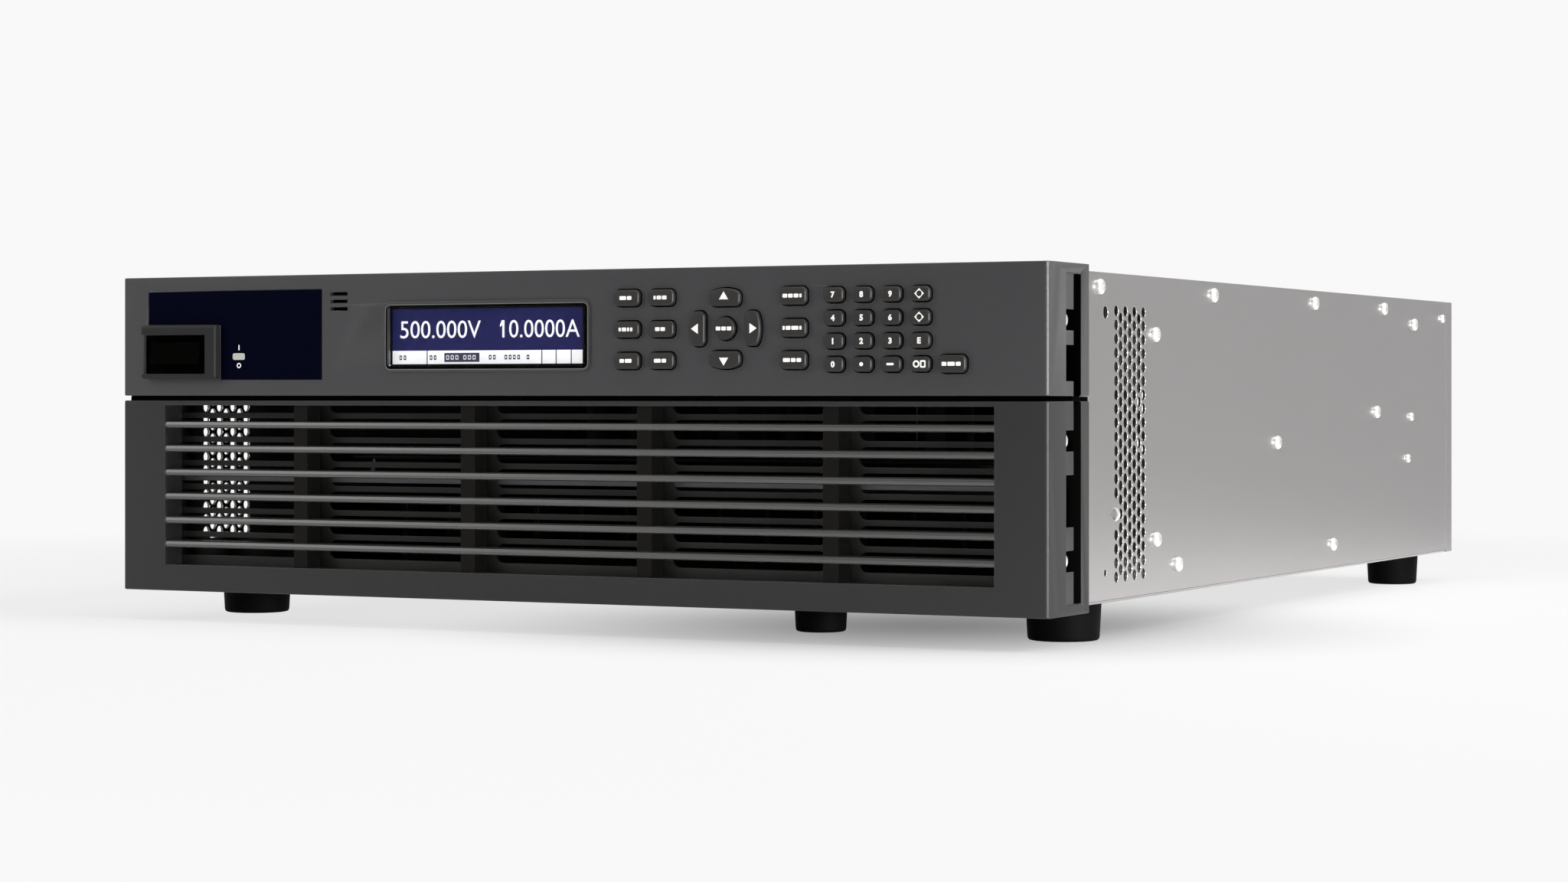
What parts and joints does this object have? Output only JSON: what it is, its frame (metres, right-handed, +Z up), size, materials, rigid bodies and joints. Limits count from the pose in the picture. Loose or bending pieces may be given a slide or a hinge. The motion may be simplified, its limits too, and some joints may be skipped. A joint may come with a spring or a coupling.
{
  "type": "bench power supply",
  "caption": "Rack-width bench power supply with a display and keypad above a barred air inlet, sheet metal case, rubber feet, rear fans and output bars.",
  "frame": {"origin": "middle of the part's box, on the plane the feet stand on", "axes": "+X to the operator's right, +Y from the front to the rear, +Z up"},
  "size_m": [0.4256, 0.5766, 0.1453],
  "materials": {
    "bezel_plastic": "dark grey moulded plastic with a fine grain",
    "key_rubber": "dark grey silicone keys",
    "label_navy": "dark navy printed overlay, left bare",
    "switch_plastic": "black switch plastic",
    "display_glass": "clear pane over a blue-violet backlight",
    "display_module": "dark module housing",
    "chassis_steel": "light grey satin sheet steel",
    "zinc_sheet": "zinc plated sheet",
    "dark_sheet": "dark grey painted sheet",
    "foot_rubber": "black rubber",
    "fan_plastic": "black fan plastic",
    "circuit_board": "green laminate",
    "heatsink_aluminium": "bare extrusion",
    "inlet_plastic": "black thermoset",
    "plated_copper": "tin plated copper bar"
  },
  "bodies": {
    "chassis": {"upper_bezel": "bezel_plastic", "lower_bezel": "bezel_plastic", "switch_housing": "bezel_plastic", "label_plate": "label_navy", "display_window": "display_glass", "display_module": "display_module", "left_side_panel": "chassis_steel", "right_side_panel": "chassis_steel", "top_cover": "chassis_steel", "rear_panel": "chassis_steel", "base_tray": "zinc_sheet", "mid_shelf": "zinc_sheet", "front_sheet": "dark_sheet", "foot_front_left": "foot_rubber", "foot_front_right": "foot_rubber", "foot_front_middle": "foot_rubber", "foot_rear_left": "foot_rubber", "foot_rear_right": "foot_rubber", "right_fan_frame": "fan_plastic", "left_fan_frame": "fan_plastic", "keypad_board": "circuit_board", "power_board": "circuit_board", "heatsink": "heatsink_aluminium", "mains_inlet": "inlet_plastic", "output_bar_positive": "plated_copper", "output_bar_negative": "plated_copper"},
    "soft_key_1": {"soft_key_1": "key_rubber"},
    "soft_key_2": {"soft_key_2": "key_rubber"},
    "soft_key_3": {"soft_key_3": "key_rubber"},
    "soft_key_4": {"soft_key_4": "key_rubber"},
    "soft_key_5": {"soft_key_5": "key_rubber"},
    "soft_key_6": {"soft_key_6": "key_rubber"},
    "mode_key_1": {"mode_key_1": "key_rubber"},
    "mode_key_2": {"mode_key_2": "key_rubber"},
    "mode_key_3": {"mode_key_3": "key_rubber"},
    "arrow_right_key": {"arrow_right_key": "key_rubber"},
    "arrow_up_key": {"arrow_up_key": "key_rubber"},
    "arrow_left_key": {"arrow_left_key": "key_rubber"},
    "arrow_down_key": {"arrow_down_key": "key_rubber"},
    "select_key": {"select_key": "key_rubber"},
    "digit_key_7": {"digit_key_7": "key_rubber"},
    "digit_key_8": {"digit_key_8": "key_rubber"},
    "digit_key_9": {"digit_key_9": "key_rubber"},
    "step_up_key": {"step_up_key": "key_rubber"},
    "digit_key_4": {"digit_key_4": "key_rubber"},
    "digit_key_5": {"digit_key_5": "key_rubber"},
    "digit_key_6": {"digit_key_6": "key_rubber"},
    "step_down_key": {"step_down_key": "key_rubber"},
    "digit_key_1": {"digit_key_1": "key_rubber"},
    "digit_key_2": {"digit_key_2": "key_rubber"},
    "digit_key_3": {"digit_key_3": "key_rubber"},
    "exponent_key": {"exponent_key": "key_rubber"},
    "digit_key_0": {"digit_key_0": "key_rubber"},
    "point_key": {"point_key": "key_rubber"},
    "sign_key": {"sign_key": "key_rubber"},
    "backspace_key": {"backspace_key": "key_rubber"},
    "enter_key": {"enter_key": "key_rubber"},
    "power_rocker": {"power_rocker": "switch_plastic"},
    "right_fan_rotor": {"right_fan_rotor": "fan_plastic"},
    "left_fan_rotor": {"left_fan_rotor": "fan_plastic"}
  },
  "joints": [
    {"name": "power_rocker_tilt", "type": "hinge", "parent": "chassis", "child": "power_rocker", "pos_m": [-0.18395, -0.28235, 0.1126], "axis": [1, 0, 0], "range_deg": [0, 14]},
    {"name": "right_fan_spin", "type": "hinge", "parent": "chassis", "child": "right_fan_rotor", "pos_m": [0.1418, 0.24805, 0.07915], "axis": [0, 1, 0], "continuous": true},
    {"name": "left_fan_spin", "type": "hinge", "parent": "chassis", "child": "left_fan_rotor", "pos_m": [0.0198, 0.24805, 0.07915], "axis": [0, 1, 0], "continuous": true},
    {"name": "soft_key_1_press", "type": "slide", "parent": "chassis", "child": "soft_key_1", "axis": [0, 1, 0], "range_m": [0, 0.0012], "stiffness_N_per_m": 700},
    {"name": "soft_key_2_press", "type": "slide", "parent": "chassis", "child": "soft_key_2", "axis": [0, 1, 0], "range_m": [0, 0.0012], "stiffness_N_per_m": 700},
    {"name": "soft_key_3_press", "type": "slide", "parent": "chassis", "child": "soft_key_3", "axis": [0, 1, 0], "range_m": [0, 0.0012], "stiffness_N_per_m": 700},
    {"name": "soft_key_4_press", "type": "slide", "parent": "chassis", "child": "soft_key_4", "axis": [0, 1, 0], "range_m": [0, 0.0012], "stiffness_N_per_m": 700},
    {"name": "soft_key_5_press", "type": "slide", "parent": "chassis", "child": "soft_key_5", "axis": [0, 1, 0], "range_m": [0, 0.0012], "stiffness_N_per_m": 700},
    {"name": "soft_key_6_press", "type": "slide", "parent": "chassis", "child": "soft_key_6", "axis": [0, 1, 0], "range_m": [0, 0.0012], "stiffness_N_per_m": 700},
    {"name": "mode_key_1_press", "type": "slide", "parent": "chassis", "child": "mode_key_1", "axis": [0, 1, 0], "range_m": [0, 0.0012], "stiffness_N_per_m": 700},
    {"name": "mode_key_2_press", "type": "slide", "parent": "chassis", "child": "mode_key_2", "axis": [0, 1, 0], "range_m": [0, 0.0012], "stiffness_N_per_m": 700},
    {"name": "mode_key_3_press", "type": "slide", "parent": "chassis", "child": "mode_key_3", "axis": [0, 1, 0], "range_m": [0, 0.0012], "stiffness_N_per_m": 700},
    {"name": "arrow_right_key_press", "type": "slide", "parent": "chassis", "child": "arrow_right_key", "axis": [0, 1, 0], "range_m": [0, 0.0012], "stiffness_N_per_m": 700},
    {"name": "arrow_up_key_press", "type": "slide", "parent": "chassis", "child": "arrow_up_key", "axis": [0, 1, 0], "range_m": [0, 0.0012], "stiffness_N_per_m": 700},
    {"name": "arrow_left_key_press", "type": "slide", "parent": "chassis", "child": "arrow_left_key", "axis": [0, 1, 0], "range_m": [0, 0.0012], "stiffness_N_per_m": 700},
    {"name": "arrow_down_key_press", "type": "slide", "parent": "chassis", "child": "arrow_down_key", "axis": [0, 1, 0], "range_m": [0, 0.0012], "stiffness_N_per_m": 700},
    {"name": "select_key_press", "type": "slide", "parent": "chassis", "child": "select_key", "axis": [0, 1, 0], "range_m": [0, 0.0012], "stiffness_N_per_m": 700},
    {"name": "digit_key_7_press", "type": "slide", "parent": "chassis", "child": "digit_key_7", "axis": [0, 1, 0], "range_m": [0, 0.0012], "stiffness_N_per_m": 700},
    {"name": "digit_key_8_press", "type": "slide", "parent": "chassis", "child": "digit_key_8", "axis": [0, 1, 0], "range_m": [0, 0.0012], "stiffness_N_per_m": 700},
    {"name": "digit_key_9_press", "type": "slide", "parent": "chassis", "child": "digit_key_9", "axis": [0, 1, 0], "range_m": [0, 0.0012], "stiffness_N_per_m": 700},
    {"name": "step_up_key_press", "type": "slide", "parent": "chassis", "child": "step_up_key", "axis": [0, 1, 0], "range_m": [0, 0.0012], "stiffness_N_per_m": 700},
    {"name": "digit_key_4_press", "type": "slide", "parent": "chassis", "child": "digit_key_4", "axis": [0, 1, 0], "range_m": [0, 0.0012], "stiffness_N_per_m": 700},
    {"name": "digit_key_5_press", "type": "slide", "parent": "chassis", "child": "digit_key_5", "axis": [0, 1, 0], "range_m": [0, 0.0012], "stiffness_N_per_m": 700},
    {"name": "digit_key_6_press", "type": "slide", "parent": "chassis", "child": "digit_key_6", "axis": [0, 1, 0], "range_m": [0, 0.0012], "stiffness_N_per_m": 700},
    {"name": "step_down_key_press", "type": "slide", "parent": "chassis", "child": "step_down_key", "axis": [0, 1, 0], "range_m": [0, 0.0012], "stiffness_N_per_m": 700},
    {"name": "digit_key_1_press", "type": "slide", "parent": "chassis", "child": "digit_key_1", "axis": [0, 1, 0], "range_m": [0, 0.0012], "stiffness_N_per_m": 700},
    {"name": "digit_key_2_press", "type": "slide", "parent": "chassis", "child": "digit_key_2", "axis": [0, 1, 0], "range_m": [0, 0.0012], "stiffness_N_per_m": 700},
    {"name": "digit_key_3_press", "type": "slide", "parent": "chassis", "child": "digit_key_3", "axis": [0, 1, 0], "range_m": [0, 0.0012], "stiffness_N_per_m": 700},
    {"name": "exponent_key_press", "type": "slide", "parent": "chassis", "child": "exponent_key", "axis": [0, 1, 0], "range_m": [0, 0.0012], "stiffness_N_per_m": 700},
    {"name": "digit_key_0_press", "type": "slide", "parent": "chassis", "child": "digit_key_0", "axis": [0, 1, 0], "range_m": [0, 0.0012], "stiffness_N_per_m": 700},
    {"name": "point_key_press", "type": "slide", "parent": "chassis", "child": "point_key", "axis": [0, 1, 0], "range_m": [0, 0.0012], "stiffness_N_per_m": 700},
    {"name": "sign_key_press", "type": "slide", "parent": "chassis", "child": "sign_key", "axis": [0, 1, 0], "range_m": [0, 0.0012], "stiffness_N_per_m": 700},
    {"name": "backspace_key_press", "type": "slide", "parent": "chassis", "child": "backspace_key", "axis": [0, 1, 0], "range_m": [0, 0.0012], "stiffness_N_per_m": 700},
    {"name": "enter_key_press", "type": "slide", "parent": "chassis", "child": "enter_key", "axis": [0, 1, 0], "range_m": [0, 0.0012], "stiffness_N_per_m": 700}
  ]
}
